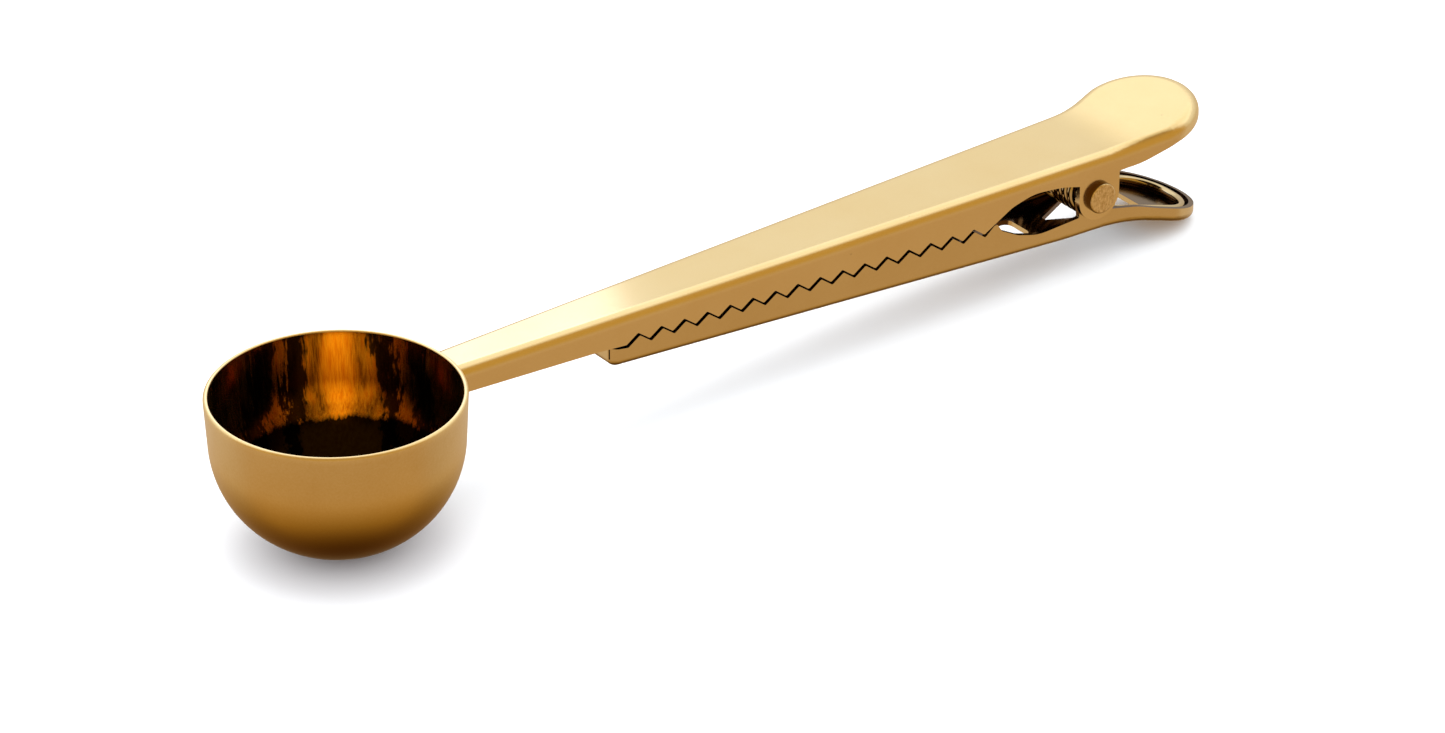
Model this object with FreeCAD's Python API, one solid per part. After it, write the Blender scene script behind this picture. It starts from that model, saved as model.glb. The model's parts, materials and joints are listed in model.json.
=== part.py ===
import FreeCAD, Part

import math
import os

from FreeCAD import Placement, Rotation, Vector

# A coffee scoop whose handle is also a bag clip. All lengths are in millimetres.
#
# Every piece is drawn in the handle frame: the origin is the centre of the bowl's rim, +X runs
# along the handle to the rear, +Y is across it and +Z is up. The finished pieces are then set
# down on the table, resting on the bowl's bottom and on the rear of the lower finger tab.

# --- sheet and bowl ---------------------------------------------------------------------------
sheet = 0.8                  # thickness of both pressed arms
bowl_wall = 0.7
bowl_radius = 19.0           # outside, at the rim
bowl_draft = 2.95            # degrees that the upper wall leans in
bowl_side_height = 7.71      # from the rim down to where the round bottom starts
bowl_bottom_radius = 17.4    # of the round bottom's section
bowl_depth = 24.15           # outside, rim to flat bottom
rim_round_outside = 0.42
rim_round_inside = 0.2

# --- upper arm: a channel open below, ending in a finger paddle ---------------------------------
upper_half_width_at_rim_centre = 3.025
upper_side_slope = 0.0368    # growth of the half-width per millimetre of length
upper_top = -1.02            # height of the flat top
upper_bend_radius = 1.7      # outside radius between the top and the flanges
arm_start = 12.0             # inside the bowl, trimmed away along the bowl's wall
paddle_half_width = 9.85
paddle_end = 159.1
paddle_bend_x = 141.5
paddle_tilt = 10.5           # degrees up towards the rear
flange_edge_front = (arm_start, -4.87)
flange_edge_jaw = (43.0, -5.80)
lip_edge = ((143.5, -4.30, 10.0), (149.0, -2.20, 12.0), (166.0, 1.20, 0.0))

# --- teeth along the two flange edges -----------------------------------------------------------
tooth_count = 16
tooth_pitch = 4.10
tooth_height = 1.48
tooth_round = 0.28
first_notch_x = 49.85        # notch in the upper edge, which the lower arm's first tooth fills
tooth_line_height = -4.19    # mean height of the teeth at x = 0
tooth_line_slope = -0.025
mesh_gap_front = (0.37, -0.60)   # how far the lower teeth sit from the upper ones, at the front
mesh_gap_rear = (0.81, -1.08)    # and at the rear

# --- hinge --------------------------------------------------------------------------------------
pivot_x = 135.5
pivot_z = -7.87
pin_radius = 2.5
pin_overhang = 1.0           # beyond each ear
pin_end_round = 0.3
running_clearance = 0.06     # radial, in the lower arm's holes
upper_ear_radius = 3.85
lower_ear_radius = 3.25

# --- lower arm: a tray open above, ending in a finger tab ---------------------------------------
jaw_front_x = 45.3
lower_half_width_front = 4.65
lower_half_width_pivot = 7.0
lower_bend_radius = 1.2
tab_half_width = 8.4
tab_end = 159.3
tab_bend = (143.6, -14.75, 30.0)
tab_tilt = 19.0              # degrees down towards the rear
floor_front = -9.42          # underside at the front wall
floor_flat_start = (130.0, -14.52)
jaw_flat_height = -6.13      # top edge of the flanges at the front wall
front_wall_height = -6.25
corner_slit = 0.22
front_window = [(122.6, -2.9, 1.2), (126.4, -2.9, 1.2)]      # -Y half of the hole ahead of the hinge
rear_window = [(131.2, -0.4, 0.3), (142.0, -5.7, 3.0), (148.3, -5.7, 1.2)]   # and of the one below it

# --- torsion spring -----------------------------------------------------------------------------
wire_radius = 0.6
coil_radius = 3.22           # to the wire's centre
coil_pitch = 1.3
coil_outer_y = 5.35          # wire centre of the outermost turn
full_turns = 3
loop_leg_angle = 14.0        # degrees down, from the coil to the finger tab
loop_leg_straight = 3.0      # before it leans out to the flange
loop_bend_x = 143.8          # where it meets the tab
loop_bend_half_width = 6.3
loop_tilt = 17.7             # degrees down along the tab
loop_half_width = 6.5
loop_end_x = 157.1           # outermost point of the wire's centre
loop_end_radius = 5.9
push_leg_angle = 15.1        # degrees up, from the coil to the underside of the upper arm
push_leg_length = 12.0

# --- rest ---------------------------------------------------------------------------------------
rest_tilt = 1.65             # degrees that the rim leans back when the scoop lies on a table

beyond = 60.0                # reach of the cutting prisms past the part


def in_plan(u, v):
    return Vector(u, v, 0.0)


def in_side(u, v):
    return Vector(u, 0.0, v)


def rounded_edges(corners, closed):
    """Lines joined by tangent arcs. corners is a list of (point, radius)."""
    last = len(corners) - 1
    joins = []
    for index, (point, radius) in enumerate(corners):
        if radius == 0.0 or (not closed and index in (0, last)):
            joins.append((point, None, point))
            continue
        back = (corners[index - 1][0] - point).normalize()
        ahead = (corners[(index + 1) % len(corners)][0] - point).normalize()
        half_angle = back.getAngle(ahead) / 2.0
        reach = radius / math.tan(half_angle)
        depth = radius / math.sin(half_angle) - radius
        middle = point + (back + ahead).normalize() * depth
        joins.append((point + back * reach, middle, point + ahead * reach))
    edges = []
    for index, (start, middle, end) in enumerate(joins):
        if middle is not None:
            edges.append(Part.Arc(start, middle, end).toShape())
        if index == last and not closed:
            break
        next_start = joins[(index + 1) % len(joins)][0]
        if end.distanceToPoint(next_start) > 1e-6:
            edges.append(Part.LineSegment(end, next_start).toShape())
    return edges


def outline(points, plane):
    """Closed wire through (u, v) or (u, v, corner radius) points on a plane."""
    corners = [(plane(p[0], p[1]), p[2] if len(p) > 2 else 0.0) for p in points]
    return Part.Wire(rounded_edges(corners, closed=True))


def prism_up(wire):
    low = wire.copy()
    low.translate(Vector(0.0, 0.0, -beyond))
    return Part.Face(low).extrude(Vector(0.0, 0.0, 2.0 * beyond))


def prism_across(wire):
    near = wire.copy()
    near.translate(Vector(0.0, -beyond, 0.0))
    return Part.Face(near).extrude(Vector(0.0, 2.0 * beyond, 0.0))


def mirrored_plan(near_side):
    """Full plan outline from the corners of its -Y side, listed front to rear."""
    far_side = [(p[0], -p[1]) + tuple(p[2:]) for p in reversed(near_side)]
    return outline(near_side + far_side, in_plan)


def bend_edges(solid, open_end_x):
    """Edges between the skin and the upright sides, but not at an open end."""
    chosen = []
    for edge in solid.Edges:
        slopes = []
        for face in solid.ancestorsOfType(edge, Part.Face):
            u, v = face.Surface.parameter(edge.valueAt(edge.getParameterByLength(edge.Length / 2.0)))
            slopes.append(abs(face.normalAt(u, v).z))
        on_open_end = edge.BoundBox.XMax < open_end_x + 0.01
        on_far_end = abs(edge.BoundBox.Center.z) > beyond / 2.0
        if min(slopes) < 0.01 and max(slopes) > 0.5 and not on_open_end and not on_far_end:
            chosen.append(edge)
    return chosen


def pressed_tray(plan, skin, bend_radius, open_end_x):
    """Sheet pressed to a plan outline and a skin line, one sheet thick, with rounded bends."""
    shapes = []
    for inset in (0.0, sheet):
        plan_wire = plan.makeOffset2D(-inset) if inset else plan
        skin_wire = skin.makeOffset2D(-inset) if inset else skin
        block = prism_up(plan_wire).common(prism_across(skin_wire)).Solids[0]
        rounded = block.makeFillet(bend_radius - inset, bend_edges(block, open_end_x + inset))
        shapes.append(rounded)
    return shapes[0], shapes[1]


def bowl_blank(grow):
    """Solid of revolution inside the bowl's outer skin, grown by a distance."""
    lean = math.radians(bowl_draft)
    side_foot = bowl_radius - bowl_side_height * math.tan(lean)
    centre_r = side_foot - bowl_bottom_radius * math.cos(lean)
    centre_z = -bowl_side_height + bowl_bottom_radius * math.sin(lean)
    arc_radius = bowl_bottom_radius + grow
    floor_z = -bowl_depth - grow
    floor_angle = math.asin((centre_z - floor_z) / arc_radius)

    def on_arc(angle):
        return in_side(centre_r + arc_radius * math.cos(angle), centre_z - arc_radius * math.sin(angle))

    side_top_r = bowl_radius + grow / math.cos(lean)
    arc_start, arc_end = on_arc(lean), on_arc(floor_angle)
    section = [
        Part.LineSegment(in_side(0.0, 0.0), in_side(side_top_r, 0.0)).toShape(),
        Part.LineSegment(in_side(side_top_r, 0.0), arc_start).toShape(),
        Part.Arc(arc_start, on_arc((floor_angle + lean) / 2.0), arc_end).toShape(),
        Part.LineSegment(arc_end, in_side(0.0, floor_z)).toShape(),
        Part.LineSegment(in_side(0.0, floor_z), in_side(0.0, 0.0)).toShape(),
    ]
    return Part.Face(Part.Wire(section)).revolve(Vector(), Vector(0.0, 0.0, 1.0), 360.0)


def make_bowl():
    shell = bowl_blank(0.0).cut(bowl_blank(-bowl_wall)).Solids[0]
    for radius, round_radius in ((bowl_radius, rim_round_outside), (bowl_radius - bowl_wall, rim_round_inside)):
        rim = [
            edge for edge in shell.Edges
            if abs(edge.BoundBox.ZMax) < 0.01 and edge.BoundBox.ZLength < 0.01
            and abs(edge.BoundBox.XMax - radius) < 0.1
        ]
        shell = shell.makeFillet(round_radius, rim)
    return shell


def upper_half_width(x):
    return upper_half_width_at_rim_centre + upper_side_slope * x


def lower_half_width(x):
    growth = (lower_half_width_pivot - lower_half_width_front) / (pivot_x - jaw_front_x)
    return lower_half_width_front + growth * (x - jaw_front_x)


def tooth_points(gap_front, gap_rear):
    """Zigzag from the valley ahead of the first tooth to the valley behind the last one."""
    points = []
    first_x = first_notch_x - tooth_pitch / 2.0
    for step in range(2 * tooth_count + 1):
        x = first_x + step * tooth_pitch / 2.0
        z = tooth_line_height + tooth_line_slope * x + tooth_height * (0.5 if step % 2 else -0.5)
        share = step / (2.0 * tooth_count)
        shift_x = gap_front[0] + (gap_rear[0] - gap_front[0]) * share
        shift_z = gap_front[1] + (gap_rear[1] - gap_front[1]) * share
        points.append((x + shift_x, z + shift_z, tooth_round))
    return points


def upper_side_region():
    """Side view of all that the upper arm's flanges keep."""
    ear_front = pivot_x - upper_ear_radius
    ear_rear = pivot_x + upper_ear_radius
    ear_bottom = pivot_z - upper_ear_radius
    points = [flange_edge_front, flange_edge_jaw]
    points += tooth_points((0.0, 0.0), (0.0, 0.0))
    points += [(118.7, -4.72, 6.0), (122.8, -3.62, 9.0), (128.3, -4.15, 14.0), (ear_front, -5.05)]
    points += [(ear_front, ear_bottom, upper_ear_radius - 0.01), (ear_rear, ear_bottom, upper_ear_radius - 0.01)]
    points += [(ear_rear, -4.55)]
    points += list(lip_edge)
    points += [(lip_edge[-1][0], beyond), (arm_start, beyond)]
    return outline(points, in_side)


def make_upper_arm():
    tilt = math.tan(math.radians(paddle_tilt))
    flare_start = 142.2
    plan = mirrored_plan([
        (arm_start, -upper_half_width(arm_start)),
        (flare_start, -upper_half_width(flare_start), 28.0),
        (148.4, -paddle_half_width, 6.0),
        (paddle_end, -paddle_half_width, paddle_half_width - 0.02),
    ])
    skin = outline([
        (-beyond, upper_top),
        (paddle_bend_x, upper_top, 40.0),
        (paddle_bend_x + beyond, upper_top + tilt * beyond),
        (paddle_bend_x + beyond, -3.0 * beyond),
        (-beyond, -3.0 * beyond),
    ], in_side)
    outer, inner = pressed_tray(plan, skin, upper_bend_radius, arm_start)
    channel = outer.cut(inner)
    weld_land = outer.common(bowl_blank(sheet))
    arm = channel.fuse(weld_land).common(prism_across(upper_side_region())).cut(bowl_blank(0.0))
    return arm.cut(hinge_bore(pin_radius)).removeSplitter().Solids[0]


def lower_side_region():
    """Side view of all that the lower arm's flanges and rims keep."""
    ear_front = pivot_x - lower_ear_radius
    ear_rear = pivot_x + lower_ear_radius
    ear_top = pivot_z + lower_ear_radius
    drop = math.tan(math.radians(tab_tilt))
    points = [(jaw_front_x - 1.0, jaw_flat_height)]
    points += tooth_points(mesh_gap_front, mesh_gap_rear)
    points += [(116.35, -7.05, 0.6), (117.45, -8.75, 0.5), (120.6, -10.45, 5.0), (124.6, -11.6, 9.0)]
    points += [(132.55, -11.1, 0.3), (ear_front, -8.6, 1.0)]
    points += [(ear_front, ear_top, lower_ear_radius - 0.01), (ear_rear, ear_top, lower_ear_radius - 0.01)]
    points += [(ear_rear, -11.35, 0.4), (143.6, -12.2, 12.0), (148.2, -13.75, 20.0)]
    points += [(148.2 + beyond, -13.75 - drop * beyond)]
    points += [(148.2 + beyond, -3.0 * beyond), (jaw_front_x - 1.0, -3.0 * beyond)]
    return outline(points, in_side)


def window(near_side):
    """Prism of a round-cornered hole through the floor."""
    wire = mirrored_plan(near_side)
    wire.translate(Vector(0.0, 0.0, -beyond))
    return Part.Face(wire).extrude(Vector(0.0, 0.0, beyond + pivot_z - lower_ear_radius))


def corner_slits():
    """Thin upright slits where the folded front wall meets the flanges."""
    slits = []
    for side in (-1.0, 1.0):
        inner_y = side * (lower_half_width_front - sheet - corner_slit / 2.0)
        slit = Part.makeBox(3.0 * sheet, corner_slit, beyond)
        slit.translate(Vector(jaw_front_x - sheet, inner_y - corner_slit / 2.0, floor_front + lower_bend_radius))
        slits.append(slit)
    return slits


def make_lower_arm():
    drop = math.tan(math.radians(tab_tilt))
    flare_start = 137.8
    plan = mirrored_plan([
        (jaw_front_x, -lower_half_width_front, lower_bend_radius + 0.2),
        (flare_start, -lower_half_width(flare_start), 22.0),
        (147.5, -tab_half_width, 14.0),
        (tab_end, -tab_half_width, tab_half_width - 0.02),
    ])
    slope = (floor_flat_start[1] - floor_front) / (floor_flat_start[0] - jaw_front_x)
    skin = outline([
        (jaw_front_x - beyond, floor_front - slope * beyond),
        (floor_flat_start[0], floor_flat_start[1], 60.0),
        tab_bend,
        (tab_bend[0] + beyond, tab_bend[1] - drop * beyond),
        (tab_bend[0] + beyond, 3.0 * beyond),
        (jaw_front_x - beyond, 3.0 * beyond),
    ], in_side)
    outer, inner = pressed_tray(plan, skin, lower_bend_radius, jaw_front_x - beyond)
    arm = outer.cut(inner).common(prism_across(lower_side_region()))
    wall_trim = Part.makeBox(2.0 * sheet, 2.0 * (lower_half_width_front - sheet), beyond)
    wall_trim.translate(Vector(jaw_front_x - sheet, sheet - lower_half_width_front, front_wall_height))
    cutters = [window(front_window), window(rear_window), wall_trim]
    cutters += corner_slits() + [hinge_bore(pin_radius + running_clearance)]
    for cutter in cutters:
        arm = arm.cut(cutter)
    return arm.removeSplitter().Solids[0]


def hinge_bore(radius):
    across = Vector(0.0, 1.0, 0.0)
    return Part.makeCylinder(radius, 2.0 * beyond, Vector(pivot_x, -beyond, pivot_z), across)


def make_pin():
    half_length = upper_half_width(pivot_x) + pin_overhang
    start = Vector(pivot_x, -half_length, pivot_z)
    pin = Part.makeCylinder(pin_radius, 2.0 * half_length, start, Vector(0.0, 1.0, 0.0))
    ends = [edge for edge in pin.Edges if edge.BoundBox.YLength < 0.01]
    return pin.makeFillet(pin_end_round, ends)


def make_spring():
    """Two coils round the pin, a loop that presses the tab and two ends under the upper arm."""
    lead = coil_pitch / (2.0 * math.pi)
    loop_angle = math.radians(loop_leg_angle)
    push_angle = math.radians(push_leg_angle)
    coil_start = -math.pi / 2.0 - loop_angle
    coil_end = math.pi / 2.0 + push_angle - 2.0 * math.pi * (full_turns + 1)
    coil_length_y = lead * (coil_start - coil_end)

    helix = Part.makeHelix(coil_pitch, coil_length_y, coil_radius)
    helix.rotate(Vector(), Vector(0.0, 0.0, 1.0), math.degrees(-coil_start))
    helix.rotate(Vector(), Vector(1.0, 0.0, 0.0), -90.0)
    helix.translate(Vector(pivot_x, -coil_outer_y, pivot_z))

    def on_coil(angle, y):
        return Vector(pivot_x + coil_radius * math.cos(angle), y, pivot_z + coil_radius * math.sin(angle))

    outer_end = on_coil(coil_start, -coil_outer_y)
    inner_end = on_coil(coil_end, coil_length_y - coil_outer_y)
    along_loop = Vector(math.cos(loop_angle), -lead / coil_radius, -math.sin(loop_angle)).normalize()
    along_push = Vector(math.cos(push_angle), lead / coil_radius, math.sin(push_angle)).normalize()

    tip = inner_end + along_push * push_leg_length
    near_coil = Part.Wire(helix.Edges + [Part.LineSegment(inner_end, tip).toShape()])
    far_coil = near_coil.mirror(Vector(), Vector(0.0, 1.0, 0.0))

    lean_start = outer_end + along_loop * loop_leg_straight
    bend_z = lean_start.z - (loop_bend_x - lean_start.x) * math.tan(loop_angle)
    bend = Vector(loop_bend_x, -loop_bend_half_width, bend_z)
    end_z = bend_z - (loop_end_x - loop_bend_x) * math.tan(math.radians(loop_tilt))
    corner = Vector(loop_end_x, -loop_half_width, end_z)
    near_side = [(outer_end, 0.0), (lean_start, 12.0), (bend, 9.0), (corner, loop_end_radius)]
    far_side = [(Vector(p.x, -p.y, p.z), radius) for p, radius in reversed(near_side)]
    loop_edges = rounded_edges(near_side + far_side, closed=False)

    path = Part.Wire(Part.sortEdges(near_coil.Edges + loop_edges + far_coil.Edges)[0])
    ring = Part.Wire(Part.makeCircle(wire_radius, tip, along_push))
    return path.makePipeShell([ring], True, True)


def set_down(shapes):
    """Tilt the pieces to their resting attitude and stand them on z = 0, centred in X and Y."""
    tilted = Placement(Vector(), Rotation(Vector(0.0, 1.0, 0.0), rest_tilt))
    for shape in shapes.values():
        shape.Placement = tilted.multiply(shape.Placement)
    box = Part.makeCompound(list(shapes.values())).optimalBoundingBox(False)
    shift = Vector(-box.Center.x, -box.Center.y, -box.ZMin)
    for shape in shapes.values():
        shape.translate(shift)
    print("rim centre at", tuple(round(value, 3) for value in shift))


parts = {
    "scoop_bowl": make_bowl(),
    "upper_arm": make_upper_arm(),
    "lower_arm": make_lower_arm(),
    "hinge_pin": make_pin(),
    "torsion_spring": make_spring(),
}
set_down(parts)
os.makedirs("parts", exist_ok=True)
for name, shape in parts.items():
    shape.exportStep("parts/" + name + ".step")
    print(name, "valid" if shape.isValid() else "INVALID", "volume", round(shape.Volume, 1))
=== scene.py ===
import json
import math

import bpy
from mathutils import Matrix, Vector


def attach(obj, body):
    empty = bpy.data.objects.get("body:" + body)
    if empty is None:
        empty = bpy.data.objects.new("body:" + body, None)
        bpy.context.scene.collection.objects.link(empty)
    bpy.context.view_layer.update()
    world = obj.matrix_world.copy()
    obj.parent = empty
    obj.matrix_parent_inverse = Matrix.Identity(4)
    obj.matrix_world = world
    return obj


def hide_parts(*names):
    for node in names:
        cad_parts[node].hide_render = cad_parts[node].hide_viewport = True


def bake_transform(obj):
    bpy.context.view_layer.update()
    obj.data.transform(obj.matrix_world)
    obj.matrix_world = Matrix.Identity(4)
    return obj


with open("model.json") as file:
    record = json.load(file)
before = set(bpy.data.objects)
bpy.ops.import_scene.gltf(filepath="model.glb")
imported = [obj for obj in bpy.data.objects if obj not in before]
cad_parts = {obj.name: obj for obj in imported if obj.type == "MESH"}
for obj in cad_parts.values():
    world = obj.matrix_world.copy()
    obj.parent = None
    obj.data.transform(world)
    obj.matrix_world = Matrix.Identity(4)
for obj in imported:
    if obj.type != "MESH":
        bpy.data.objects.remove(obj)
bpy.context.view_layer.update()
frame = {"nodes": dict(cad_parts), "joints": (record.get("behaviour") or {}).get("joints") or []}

MM = 0.001

# --- the handle frame: origin at the centre of the bowl's rim, +X to the rear, +Z off the handle ----
REST_TILT = math.radians(1.65)
HINGE = Vector(frame["joints"][0]["pos_m"])
HINGE_IN_HANDLE = Vector((135.5, 0.0, -7.87)) * MM
TILT = Matrix.Rotation(REST_TILT, 3, "Y")
RIM_CENTRE = HINGE - TILT @ HINGE_IN_HANDLE


def in_row(point_mm):
    """A point of the handle frame, in millimetres, as a point of the row frame, in metres."""
    return RIM_CENTRE + TILT @ (Vector(point_mm) * MM)


# --- camera -----------------------------------------------------------------------------------------
VIEW_AZIMUTH = math.radians(37.0)
VIEW_DROP = math.radians(29.243)
VIEW_CENTRE_MM = (-55.08, -3.709, 867.21)     # right, up and forward of the camera
ACROSS = (0.799, -0.602, 0.0)                 # level direction to the camera's right
BEHIND = (0.602, 0.799, 0.0)                  # level direction from the camera through the object
MIRRORED_VIEW = (0.525, 0.697, 0.4885)        # the camera's direction mirrored in the handle's top
LENS, SENSOR = 151.71, 36.0


def add_camera():
    sa, ca = math.sin(VIEW_AZIMUTH), math.cos(VIEW_AZIMUTH)
    se, ce = math.sin(VIEW_DROP), math.cos(VIEW_DROP)
    forward = Vector((sa * ce, ca * ce, -se))
    right = Vector((ca, -sa, 0.0))
    up = Vector((sa * se, ca * se, ce))
    x, y, d = VIEW_CENTRE_MM
    place = -(right * x + up * y + forward * d)
    data = bpy.data.cameras.new("camera")
    data.lens, data.sensor_width = LENS, SENSOR
    data.clip_start, data.clip_end = 0.01, 20.0
    camera = bpy.data.objects.new("camera", data)
    turn = TILT @ Matrix((right, up, -forward)).transposed()
    camera.matrix_world = Matrix.Translation(in_row(place)) @ turn.to_4x4()
    bpy.context.scene.collection.objects.link(camera)
    bpy.context.scene.camera = camera


# --- node helpers -----------------------------------------------------------------------------------
class Nodes:
    """Short ways to add linked shader nodes to a tree."""

    def __init__(self, tree):
        self.tree = tree
        self.tree.nodes.clear()

    def add(self, kind, inputs=None, **settings):
        node = self.tree.nodes.new(kind)
        for key, value in settings.items():
            setattr(node, key, value)
        for key, value in (inputs or {}).items():
            if isinstance(value, bpy.types.NodeSocket):
                self.tree.links.new(value, node.inputs[key])
            else:
                node.inputs[key].default_value = value
        return node

    def maths(self, operation, a, b=0.0, clamp=False):
        return self.add("ShaderNodeMath", {0: a, 1: b}, operation=operation, use_clamp=clamp).outputs[0]

    def vectors(self, operation, a, b):
        node = self.add("ShaderNodeVectorMath", {0: a, 1: b}, operation=operation)
        return node.outputs["Value" if operation == "DOT_PRODUCT" else "Vector"]

    def axes(self, vector):
        return self.add("ShaderNodeSeparateXYZ", {0: vector}).outputs

    def mapped(self, vector, scale, rotation=(0.0, 0.0, 0.0)):
        inputs = {"Vector": vector, "Rotation": rotation, "Scale": scale}
        return self.add("ShaderNodeMapping", inputs).outputs[0]

    def ramp(self, value, stops):
        node = self.add("ShaderNodeValToRGB", {0: value})
        marks = node.color_ramp.elements
        while len(marks) < len(stops):
            marks.new(0.5)
        for mark, (position, color) in zip(marks, stops):
            mark.position = position
            mark.color = (*color, 1.0)
        return node.outputs[0]

    def spread(self, value, low, high, to_low, to_high):
        return self.add(
            "ShaderNodeMapRange", {0: value, 1: low, 2: high, 3: to_low, 4: to_high}
        ).outputs[0]

    def noise(self, vector, scale, detail=3.0, roughness=0.5):
        inputs = {"Vector": vector, "Scale": scale, "Detail": detail, "Roughness": roughness}
        return self.add("ShaderNodeTexNoise", inputs).outputs["Fac"]

    def mix(self, factor, a, b, blend="MIX"):
        node = self.add("ShaderNodeMix", data_type="RGBA", blend_type=blend)
        for socket, value in ((node.inputs[0], factor), (node.inputs[6], a), (node.inputs[7], b)):
            if isinstance(value, bpy.types.NodeSocket):
                self.tree.links.new(value, socket)
            else:
                socket.default_value = value if not isinstance(value, tuple) else (*value, 1.0)
        return node.outputs[2]


def new_material(name):
    material = bpy.data.materials.new(name)
    material.use_nodes = True
    return material, Nodes(material.node_tree)


def add_metal(n, color, roughness, grain, strength, grain_depth_mm):
    """The metal shader, with a fine grain raised by bump."""
    bump = n.add("ShaderNodeBump", {
        "Height": grain, "Strength": strength, "Distance": grain_depth_mm * MM,
    })
    shader = n.add("ShaderNodeBsdfPrincipled", {
        "Base Color": color, "Metallic": 1.0, "Roughness": roughness, "Normal": bump.outputs[0],
    })
    n.add("ShaderNodeOutputMaterial", {"Surface": shader.outputs[0]})


# --- mesh helpers -----------------------------------------------------------------------------------
def add_mesh(name, verts, faces):
    data = bpy.data.meshes.new(name)
    data.from_pydata([tuple(vert) for vert in verts], [], faces)
    data.update()
    piece = bpy.data.objects.new(name, data)
    bpy.context.scene.collection.objects.link(piece)
    return piece


def skin(rings, sides):
    """Faces of a tube of vertex rings: the quads between rings, then the first and the last end."""
    faces = []
    for ring in range(rings - 1):
        a, b = ring * sides, (ring + 1) * sides
        for step in range(sides):
            ahead = (step + 1) % sides
            faces.append((a + step, a + ahead, b + ahead, b + step))
    last = (rings - 1) * sides
    faces.append(tuple(range(sides - 1, -1, -1)))
    faces.append(tuple(last + step for step in range(sides)))
    return faces


# --- world and lights -------------------------------------------------------------------------------
SOFT_BOX_EDGE = (-0.16, 0.20)                 # where the room ahead gives way to the soft box behind
FLOOR_AMBIENT, FLOOR_AMBIENT_COLOR = 1.68, (0.92, 0.96, 1.0, 1.0)
BACKDROP = 1.05
PURE_WHITE = (1.0, 1.0, 1.0, 1.0)
OVERHEAD_PLACE, OVERHEAD_SIZE, OVERHEAD_WATTS = (-0.03, 0.06, 0.60), 0.42, 1.15
CARD_LENGTH, CARD_WIDTH, CARD_WATTS = 0.100, 0.070, 0.026
CARD_COLOR = (0.49, 0.62, 1.0)
CARD_DISTANCE, CARD_SHIFT = 0.11, 0.017       # along the mirrored view, and back towards the bowl
CARD_AIM_MM = (10.0, 0.0, 0.0)
FLOOR_HALF = 1.6


def add_world():
    """White all round for the camera and the floor, and a softly graded studio for the metal."""
    world = bpy.data.worlds.new("studio")
    bpy.context.scene.world = world
    world.use_nodes = True
    n = Nodes(world.node_tree)
    direction = n.add("ShaderNodeTexCoord").outputs["Generated"]
    height = n.spread(n.axes(direction)[2], -1.0, 1.0, 0.0, 1.0)
    # from straight down to straight up: a large soft box behind, a dim warm room ahead
    behind = n.ramp(height, [
        (0.00, (0.06, 0.025, 0.006)), (0.12, (0.26, 0.16, 0.06)), (0.25, (0.70, 0.58, 0.46)),
        (0.40, (0.74, 0.63, 0.50)), (0.50, (0.70, 0.62, 0.50)), (0.62, (0.86, 0.84, 0.80)),
        (0.74, (0.97, 0.99, 1.00)), (0.82, (1.36, 1.42, 1.50)), (0.94, (1.20, 1.20, 1.15)),
        (1.00, (0.70, 0.62, 0.42)),
    ])
    ahead = n.ramp(height, [
        (0.00, (0.10, 0.05, 0.01)), (0.07, (0.32, 0.19, 0.05)), (0.16, (0.52, 0.34, 0.14)),
        (0.26, (0.57, 0.40, 0.23)), (0.40, (0.60, 0.43, 0.25)), (0.50, (0.58, 0.40, 0.16)),
        (0.62, (0.58, 0.37, 0.08)), (0.85, (0.56, 0.35, 0.07)), (0.93, (0.50, 0.32, 0.07)),
        (1.00, (0.36, 0.22, 0.05)),
    ])
    toward = n.vectors("DOT_PRODUCT", direction, BEHIND)
    low, high = SOFT_BOX_EDGE
    edge = {0: toward, 1: low, 2: high, 3: 0.0, 4: 1.0}
    share = n.add("ShaderNodeMapRange", edge, interpolation_type="SMOOTHSTEP").outputs[0]

    def background(color, strength):
        return n.add("ShaderNodeBackground", {"Color": color, "Strength": strength}).outputs[0]

    def pick(rays_of_kind, other, chosen):
        return n.add("ShaderNodeMixShader", {0: rays_of_kind, 1: other, 2: chosen}).outputs[0]

    rays = n.add("ShaderNodeLightPath").outputs
    studio = background(n.mix(share, ahead, behind), 1.0)
    soft = pick(rays["Is Glossy Ray"], background(FLOOR_AMBIENT_COLOR, FLOOR_AMBIENT), studio)
    seen = pick(rays["Is Camera Ray"], soft, background(PURE_WHITE, BACKDROP))
    n.add("ShaderNodeOutputWorld", {"Surface": seen})


def add_area_light(name, length, width, watts):
    data = bpy.data.lights.new(name, "AREA")
    data.shape, data.size, data.size_y, data.energy = "RECTANGLE", length, width, watts
    light = bpy.data.objects.new(name, data)
    light.rotation_mode = "QUATERNION"
    bpy.context.scene.collection.objects.link(light)
    return light


def add_overhead_light():
    """Large soft light for the floor's shadow; the metal doesn't mirror it."""
    light = add_area_light("overhead", OVERHEAD_SIZE, OVERHEAD_SIZE, OVERHEAD_WATTS)
    light.location = OVERHEAD_PLACE
    light.rotation_quaternion = (-light.location).to_track_quat("-Z", "Y")
    light.visible_glossy = False


def add_back_card():
    """Small soft box close behind the front of the handle; only the metal sees it."""
    mirrored = TILT @ Vector(MIRRORED_VIEW)
    along = (TILT @ Vector((1.0, 0.0, 0.0)) - mirrored * MIRRORED_VIEW[0]).normalized()
    card = add_area_light("back_card", CARD_LENGTH, CARD_WIDTH, CARD_WATTS)
    card.data.color = CARD_COLOR
    place = in_row(CARD_AIM_MM) + mirrored * CARD_DISTANCE - along * CARD_SHIFT
    turn = Matrix((along, mirrored.cross(along), mirrored)).transposed()
    card.matrix_world = Matrix.Translation(place) @ turn.to_4x4()
    card.visible_diffuse = False
    card.visible_camera = False


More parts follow.
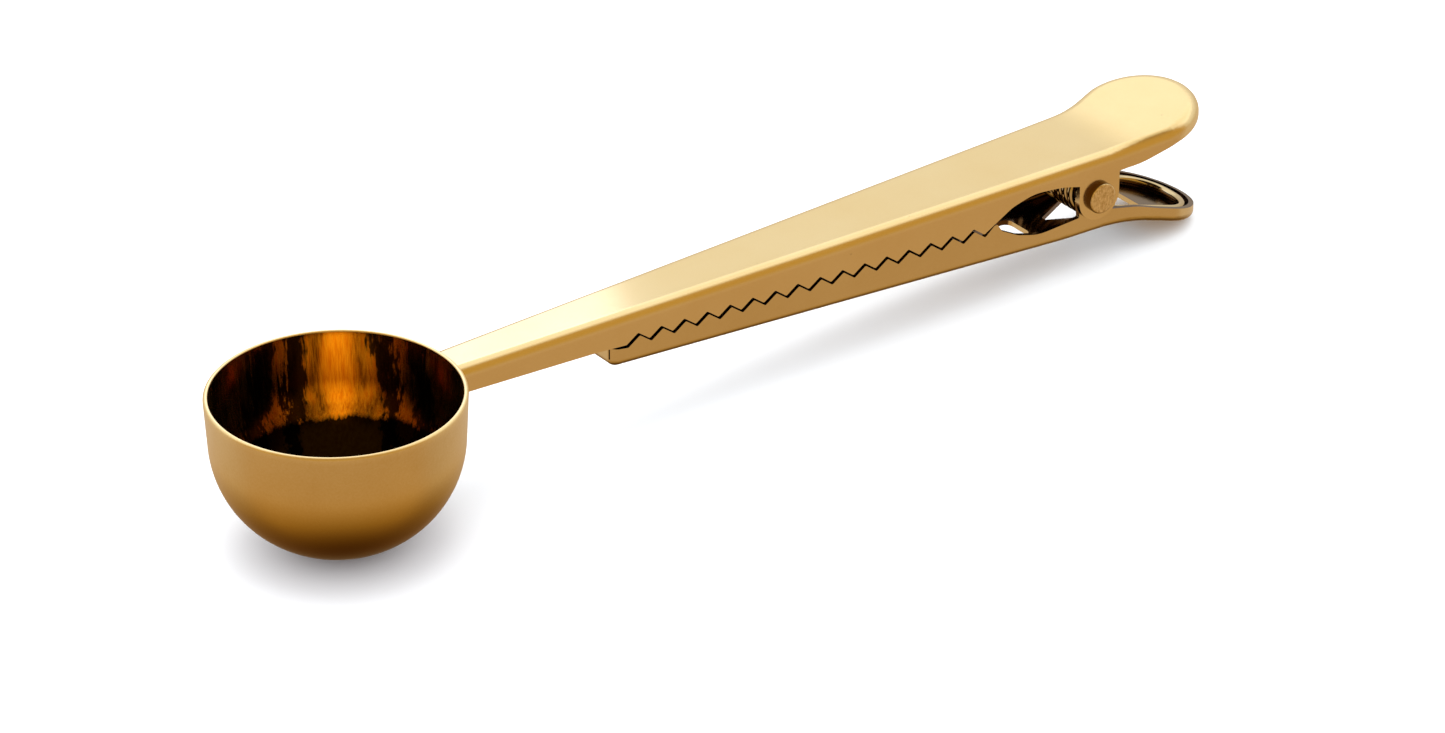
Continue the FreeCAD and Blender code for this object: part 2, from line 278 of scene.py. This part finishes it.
def add_floor():
    half = FLOOR_HALF
    corners = [(-half, -half, 0.0), (half, -half, 0.0), (half, half, 0.0), (-half, half, 0.0)]
    floor = add_mesh("floor", corners, [(0, 1, 2, 3)])
    material, n = new_material("floor_white")
    shade = n.add("ShaderNodeBsdfDiffuse", {"Color": (0.9, 0.9, 0.9, 1.0)})
    n.add("ShaderNodeOutputMaterial", {"Surface": shade.outputs[0]})
    floor.data.materials.append(material)
    floor.visible_glossy = False


# --- metal: finishes --------------------------------------------------------------------------------
PALE_GOLD, DEEP_GOLD = (0.87, 0.67, 0.35), (0.82, 0.60, 0.28)
LOWER_PALE, LOWER_DEEP = (0.80, 0.61, 0.31), (0.73, 0.53, 0.24)
BOWL_PALE, BOWL_DEEP = (0.90, 0.69, 0.36), (0.78, 0.54, 0.22)
WIRE_PALE, WIRE_DEEP = (0.66, 0.52, 0.30), (0.54, 0.40, 0.20)
# painted shade: near-black colour for faces inside the arms and in the gaps between parts
INSIDE_PAINTED_SHADE, INSIDE_ROUGHNESS = (0.10, 0.045, 0.012), 0.13
ARM_ROUGHNESS, BOWL_ROUGHNESS, WIRE_ROUGHNESS = 0.18, 0.32, 0.11
PIT_COLOR, PIT_SHARE = (0.16, 0.10, 0.05), 0.8
PAINTED_SHADE_HEIGHT_MM = 25.0                         # the bowl's painted shade is graded over this height
# painted shade: colour multipliers that darken the bowl's outside towards the floor, by share of that
# height
BOWL_PAINTED_SHADE = [
    (0.00, (0.10, 0.040, 0.003)), (0.10, (0.24, 0.12, 0.02)), (0.28, (0.60, 0.38, 0.08)),
    (0.50, (0.93, 0.78, 0.36)), (0.72, (0.99, 0.95, 0.84)), (0.90, (1.00, 1.00, 1.00)),
]
# ends of a line inside each arm, in the handle frame: faces that look at it, inside the arms and in the
# gaps between parts, get painted shade
UPPER_CORE_MM = ((10.0, 0.0, -12.0), (150.0, 0.0, -12.0))
LOWER_CORE_MM = ((50.0, 0.0, 8.0), (151.0, 0.0, -12.5))


def add_pits(n, place, color):
    """Color with a few tiny dark pits in the coating."""
    cells = n.add("ShaderNodeTexVoronoi", {"Vector": place, "Scale": 420.0, "Randomness": 1.0})
    spots = n.spread(cells.outputs["Distance"], 0.03, 0.09, 1.0, 0.0)
    few = n.spread(n.noise(place, 260.0, 1.0), 0.60, 0.66, 0.0, 1.0)
    dots = n.maths("MULTIPLY", spots, few, clamp=True)
    return n.mix(n.maths("MULTIPLY", dots, PIT_SHARE), color, PIT_COLOR)


def painted_shade_faces(n, core_mm):
    """1 where a face looks at the core line, 0 where it looks away from it: where painted shade goes."""
    coords = n.add("ShaderNodeTexCoord").outputs
    start, end = in_row(core_mm[0]), in_row(core_mm[1])
    along = end - start
    from_start = n.vectors("SUBTRACT", coords["Object"], start)
    share = n.vectors("DOT_PRODUCT", from_start, along / along.length_squared)
    share = n.spread(share, 0.0, 1.0, 0.0, 1.0)
    core = n.add("ShaderNodeVectorMath", {0: along, "Scale": share}, operation="SCALE").outputs[0]
    outward = n.vectors("SUBTRACT", from_start, core)
    unit = n.add("ShaderNodeVectorMath", {0: outward}, operation="NORMALIZE").outputs[0]
    facing = n.vectors("DOT_PRODUCT", unit, coords["Normal"])
    return n.spread(facing, -0.12, -0.02, 1.0, 0.0)


def gold(name, pale, deep, roughness, grain_mm=0.35, grain_depth_mm=0.01, core_mm=None, painted_shade_ramp=None):
    """Gold-coloured coating on steel, softly mottled.

    With core_mm, faces inside an arm and in the gaps between parts are painted dark as painted
    shade, and the coating has pits. Given a height ramp, the colour is painted darker towards the
    floor as painted shade.
    """
    material, n = new_material(name)
    place = n.add("ShaderNodeTexCoord").outputs["Object"]
    clouds = n.noise(place, 55.0, 4.0, 0.55)
    grain = n.noise(place, 1.0 / (grain_mm * MM), 3.0, 0.6)
    tone = n.maths("ADD", n.maths("MULTIPLY", clouds, 0.7), n.maths("MULTIPLY", grain, 0.3))
    color = n.ramp(tone, [(0.30, deep), (0.70, pale)])
    rough = n.spread(tone, 0.3, 0.7, roughness * 1.12, roughness * 0.9)
    if painted_shade_ramp:
        # painted shade: colour multiplied darker towards the floor
        height = n.spread(n.axes(place)[2], 0.0, PAINTED_SHADE_HEIGHT_MM * MM, 0.0, 1.0)
        color = n.mix(1.0, color, n.ramp(height, painted_shade_ramp), blend="MULTIPLY")
    if core_mm:
        # painted shade on faces that look at the core line; pits on the rest
        painted_shade_mask = painted_shade_faces(n, core_mm)
        color = n.mix(painted_shade_mask, add_pits(n, place, color), INSIDE_PAINTED_SHADE)
        rough = n.add("ShaderNodeMix", {0: painted_shade_mask, 2: rough, 3: INSIDE_ROUGHNESS}).outputs[0]
    add_metal(n, color, rough, grain, 0.35, grain_depth_mm)
    return material


PIN_WALL_PAINTED_SHADE, PIN_FACE_DEEP, PIN_FACE_PALE = (0.13, 0.07, 0.018), (0.56, 0.36, 0.13), (0.98, 0.74, 0.38)


def pin_metal():
    """Turned gold: finely scratched ends, and a wall painted dark as painted shade."""
    material, n = new_material("gold_pin")
    coords = n.add("ShaderNodeTexCoord").outputs
    end = n.spread(n.maths("ABSOLUTE", n.axes(coords["Normal"])[1]), 0.30, 0.75, 0.0, 1.0)
    drawn = n.mapped(coords["Object"], (1.0, 1.0, 0.10), rotation=(0.0, 0.6, 0.0))
    scratches = n.noise(drawn, 7000.0, 3.0, 0.7)
    specks = n.noise(coords["Object"], 2600.0, 3.0, 0.7)
    tone = n.maths("ADD", n.maths("MULTIPLY", scratches, 0.5), n.maths("MULTIPLY", specks, 0.5))
    # the wall gets a painted shade colour, the ends the scratched tone
    color = n.mix(end, PIN_WALL_PAINTED_SHADE, n.ramp(tone, [(0.38, PIN_FACE_DEEP), (0.62, PIN_FACE_PALE)]))
    add_metal(n, color, n.spread(end, 0.0, 1.0, 0.16, 0.30), tone, 0.6, 0.03)
    return material


# --- bowl -------------------------------------------------------------------------------------------
# millimetres, a hair inside the CAD bowl
BOWL_RADIUS, BOWL_DEPTH, BOWL_WALL, BOWL_DROP = 18.965, 24.148, 0.7, 0.001
OUTER_RIM_ROUND, INNER_RIM_ROUND = 0.42, 0.2
BOWL_LEAN = math.radians(2.95)
BOWL_SIDE_HEIGHT, BOWL_ROUND = 7.71, 17.4
BOWL_STEPS, RIM_STEPS, SIDE_STEPS, ROUND_STEPS = 320, 6, 10, 60


def bowl_side(grow, rim_round, towards_wall):
    """Section (r, z) of one skin, in millimetres, from the rim's top to near the axis."""
    foot_r = BOWL_RADIUS - BOWL_SIDE_HEIGHT * math.tan(BOWL_LEAN)
    centre_r = foot_r - BOWL_ROUND * math.cos(BOWL_LEAN)
    centre_z = BOWL_ROUND * math.sin(BOWL_LEAN) - BOWL_SIDE_HEIGHT
    radius = BOWL_ROUND + grow
    floor_z = -BOWL_DEPTH - grow
    top_r = BOWL_RADIUS + grow / math.cos(BOWL_LEAN)
    points = []
    for step in range(RIM_STEPS + 1):
        turn = math.radians(90.0) * step / RIM_STEPS
        r = top_r + towards_wall * rim_round * (1.0 - math.sin(turn))
        points.append((r, -rim_round * (1.0 - math.cos(turn))))
    rim_r, rim_z = points[-1]
    start_r = centre_r + radius * math.cos(BOWL_LEAN)
    start_z = centre_z - radius * math.sin(BOWL_LEAN)
    for step in range(1, SIDE_STEPS):
        share = step / SIDE_STEPS
        points.append((rim_r + (start_r - rim_r) * share, rim_z + (start_z - rim_z) * share))
    end = math.asin((centre_z - floor_z) / radius)
    for step in range(ROUND_STEPS + 1):
        angle = BOWL_LEAN + (end - BOWL_LEAN) * step / ROUND_STEPS
        points.append((centre_r + radius * math.cos(angle), centre_z - radius * math.sin(angle)))
    foot = points[-1][0]
    return points + [(foot * share, floor_z) for share in (0.66, 0.33)]


def add_bowl(outside, within):
    """Bowl turned about its axis, its outside with painted shade near the floor, its inside with painted
    reflections and painted shade.
    """
    outer = bowl_side(0.0, OUTER_RIM_ROUND, towards_wall=-1.0)
    inner = bowl_side(-BOWL_WALL, INNER_RIM_ROUND, towards_wall=1.0)
    section = list(reversed(outer)) + inner
    turns = [2.0 * math.pi * step / BOWL_STEPS for step in range(BOWL_STEPS)]
    verts = [
        in_row((r * math.cos(turn), r * math.sin(turn), z - BOWL_DROP))
        for r, z in section
        for turn in turns
    ]
    bowl = add_mesh("bowl", verts, skin(len(section), BOWL_STEPS))
    bowl.data.materials.append(outside)
    bowl.data.materials.append(within)
    first_inner = (len(outer) + RIM_STEPS) * BOWL_STEPS
    for polygon in bowl.data.polygons:
        polygon.use_smooth = True
        polygon.material_index = 1 if polygon.index >= first_inner else 0
    bowl.data.polygons[len(bowl.data.polygons) - 2].material_index = 0
    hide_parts("scoop_bowl")
    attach(bowl, "handle")


# painted reflections: brightness of the inside against distance from the middle, as seen from the front
PAINTED_REFLECTION_BANDS = [
    (0.00, 1.00), (0.22, 0.95), (0.25, 0.55), (0.27, 0.06), (0.37, 0.05),
    (0.40, 0.75), (0.47, 0.60), (0.50, 0.06), (0.60, 0.08), (0.66, 0.60),
    (0.80, 0.65), (0.86, 0.20), (0.93, 0.60), (1.00, 0.50),
]
STREAK_DEEP, STREAK_PALE = (0.62, 0.25, 0.012), (0.95, 0.52, 0.06)
PAINTED_SHADE_DEPTH = (0.54, 0.57)                     # share of the depth below which the far side is painted dark: painted shade


def bowl_inside_painted_light():
    """Bright metal drawn deep: orange bronze with fine upright streaks, painted reflection bands, and
    painted shade deep on the far side.
    """
    material, n = new_material("gold_inside_painted_light")
    local = n.vectors("SUBTRACT", n.add("ShaderNodeTexCoord").outputs["Object"], RIM_CENTRE)
    across = n.vectors("DOT_PRODUCT", local, Vector(ACROSS) / (BOWL_RADIUS * MM))
    aside = n.maths("ABSOLUTE", across)
    depth = n.spread(n.axes(local)[2], 0.0, -BOWL_DEPTH * MM, 0.0, 1.0)
    streaks = n.noise(n.mapped(local, (1.0, 1.0, 0.06)), 2600.0, 3.0, 0.7)
    broad = n.noise(n.mapped(local, (1.0, 1.0, 0.35)), 260.0, 4.0, 0.7)

    # the painted reflection bands' edges are ragged, lean inwards with depth and stand nearer on the left
    ragged = n.maths("ADD", broad, n.maths("MULTIPLY", streaks, 0.5))
    shift = n.maths("MULTIPLY", n.maths("SUBTRACT", ragged, 0.75), 0.42)
    lean = n.maths("MULTIPLY", n.maths("MULTIPLY", aside, depth), 0.20)
    where = n.maths("ADD", n.maths("SUBTRACT", aside, lean), shift)
    left = n.maths("LESS_THAN", across, 0.0)
    where = n.maths("ADD", where, n.maths("MULTIPLY", left, -0.04))
    painted_reflection_bands = n.ramp(where, [(position, (level, level, level)) for position, level in PAINTED_REFLECTION_BANDS])

    # painted shade: the far side darkens below a depth, while the side towards the front stays bright
    near = n.spread(n.vectors("DOT_PRODUCT", local, BEHIND), 0.0, 2.0 * MM, 1.0, 0.0)
    ragged_depth = n.maths("ADD", depth, n.maths("MULTIPLY", shift, 0.25))
    low = n.maths("MAXIMUM", n.spread(ragged_depth, *PAINTED_SHADE_DEPTH, 1.0, 0.02), near)
    tone = n.mix(1.0, painted_reflection_bands, low, blend="MULTIPLY")
    warm = n.ramp(streaks, [(0.35, STREAK_DEEP), (0.65, STREAK_PALE)])
    color = n.mix(1.0, warm, tone, blend="MULTIPLY")
    add_metal(n, color, n.spread(streaks, 0.35, 0.65, 0.12, 0.22), streaks, 0.4, 0.01)
    return material


# --- spring -----------------------------------------------------------------------------------------
# millimetres of the handle frame
PIVOT_X, PIVOT_Z = 135.5, -7.87
WIRE_RADIUS, WIRE_SIDES = 0.598, 20
COIL_RADIUS, COIL_PITCH, COIL_OUTER_Y, FULL_TURNS = 3.22, 1.3, 5.35, 3
COIL_LEAD = COIL_PITCH / (2.0 * math.pi)
COIL_STEPS, LEG_STEPS, ARC_STEPS = 190, 12, 14
LOOP_ANGLE, PUSH_ANGLE = math.radians(14.0), math.radians(15.1)
PUSH_LENGTH = 12.0
LOOP_STRAIGHT, LEAN_ROUND = 3.0, 12.0         # before it leans out to the flange
BEND_X, BEND_HALF_WIDTH, BEND_ROUND = 143.8, 6.3, 9.0
LOOP_TILT = math.radians(17.7)                # along the finger tab
LOOP_END_X, LOOP_HALF_WIDTH, LOOP_END_ROUND = 157.1, 6.5, 5.9
COIL_START = -math.pi / 2.0 - LOOP_ANGLE
COIL_END = math.pi / 2.0 + PUSH_ANGLE - 2.0 * math.pi * (FULL_TURNS + 1)


def on_coil(angle):
    y = COIL_LEAD * (COIL_START - angle) - COIL_OUTER_Y
    return Vector((PIVOT_X + COIL_RADIUS * math.cos(angle), y, PIVOT_Z + COIL_RADIUS * math.sin(angle)))


def coil_route():
    """Centre line of the near coil and the end that presses the upper arm."""
    turn = (COIL_END - COIL_START) / COIL_STEPS
    route = [on_coil(COIL_START + turn * step) for step in range(COIL_STEPS + 1)]
    along = Vector((math.cos(PUSH_ANGLE), COIL_LEAD / COIL_RADIUS, math.sin(PUSH_ANGLE))).normalized()
    inner = route[-1]
    return route + [inner + along * PUSH_LENGTH * step / LEG_STEPS for step in range(1, LEG_STEPS + 1)]


def rounded(corners):
    """Points of lines joined by tangent arcs; corners is a list of (point, radius)."""
    route = [corners[0][0]]
    for index in range(1, len(corners) - 1):
        point, radius = corners[index]
        back = (corners[index - 1][0] - point).normalized()
        ahead = (corners[index + 1][0] - point).normalized()
        half = back.angle(ahead) / 2.0
        start = point + back * radius / math.tan(half)
        centre = point + (back + ahead).normalized() * radius / math.sin(half)
        spoke, axis = start - centre, back.cross(ahead)
        part = (2.0 * half - math.pi) / ARC_STEPS
        turns = [Matrix.Rotation(part * step, 3, axis) for step in range(ARC_STEPS + 1)]
        route += [centre + turn @ spoke for turn in turns]
    return route + [corners[-1][0]]


def loop_route():
    """Centre line of the loop that lies in the finger tab."""
    outer = on_coil(COIL_START)
    along = Vector((math.cos(LOOP_ANGLE), -COIL_LEAD / COIL_RADIUS, -math.sin(LOOP_ANGLE))).normalized()
    lean = outer + along * LOOP_STRAIGHT
    bend_z = lean.z - (BEND_X - lean.x) * math.tan(LOOP_ANGLE)
    end_z = bend_z - (LOOP_END_X - BEND_X) * math.tan(LOOP_TILT)
    bend, corner = Vector((BEND_X, -BEND_HALF_WIDTH, bend_z)), Vector((LOOP_END_X, -LOOP_HALF_WIDTH, end_z))
    near = [(outer, 0.0), (lean, LEAN_ROUND), (bend, BEND_ROUND), (corner, LOOP_END_ROUND)]
    return rounded(near + [(Vector((p.x, -p.y, p.z)), radius) for p, radius in reversed(near)])


def tube(name, route):
    """Round wire along a route in millimetres of the handle frame."""
    points = [in_row(point) for point in route]
    side = (points[1] - points[0]).orthogonal().normalized()
    verts = []
    for index, point in enumerate(points):
        along = (points[min(index + 1, len(points) - 1)] - points[max(index - 1, 0)]).normalized()
        side = (side - along * side.dot(along)).normalized()
        up = along.cross(side)
        for step in range(WIRE_SIDES):
            angle = 2.0 * math.pi * step / WIRE_SIDES
            verts.append(point + (side * math.cos(angle) + up * math.sin(angle)) * WIRE_RADIUS * MM)
    wire = add_mesh(name, verts, skin(len(points), WIRE_SIDES))
    for polygon in wire.data.polygons:
        polygon.use_smooth = len(polygon.vertices) == 4
    return wire


def add_spring(metal):
    """The loop turns with the lower arm; the coils and the ends that press the upper arm stay fixed and do
    not wind.
    """
    loop = tube("spring_loop", loop_route())
    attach(loop, "lower_jaw")
    pieces = [loop]
    near = coil_route()
    for name, way in (("spring_near_coil", 1.0), ("spring_far_coil", -1.0)):
        coil = tube(name, [Vector((p.x, p.y * way, p.z)) for p in near])
        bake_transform(coil)
        pieces.append(coil)
    for piece in pieces:
        piece.data.materials.append(metal)
        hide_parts("torsion_spring")


# --- the scene --------------------------------------------------------------------------------------
def paint(node, material):
    slots = frame["nodes"][node].data.materials
    slots.clear()
    slots.append(material)


add_camera()
add_world()
add_overhead_light()
add_back_card()
add_floor()
bpy.context.scene.view_settings.view_transform = "Standard"

paint("upper_arm", gold("gold_satin_upper", PALE_GOLD, DEEP_GOLD, ARM_ROUGHNESS, core_mm=UPPER_CORE_MM))
paint("lower_arm", gold("gold_satin_lower", LOWER_PALE, LOWER_DEEP, ARM_ROUGHNESS, core_mm=LOWER_CORE_MM))
paint("hinge_pin", pin_metal())
add_spring(gold("wire", WIRE_PALE, WIRE_DEEP, WIRE_ROUGHNESS, grain_mm=0.4, grain_depth_mm=0.004))
add_bowl(gold("gold_bowl", BOWL_PALE, BOWL_DEEP, BOWL_ROUGHNESS, painted_shade_ramp=BOWL_PAINTED_SHADE), bowl_inside_painted_light())
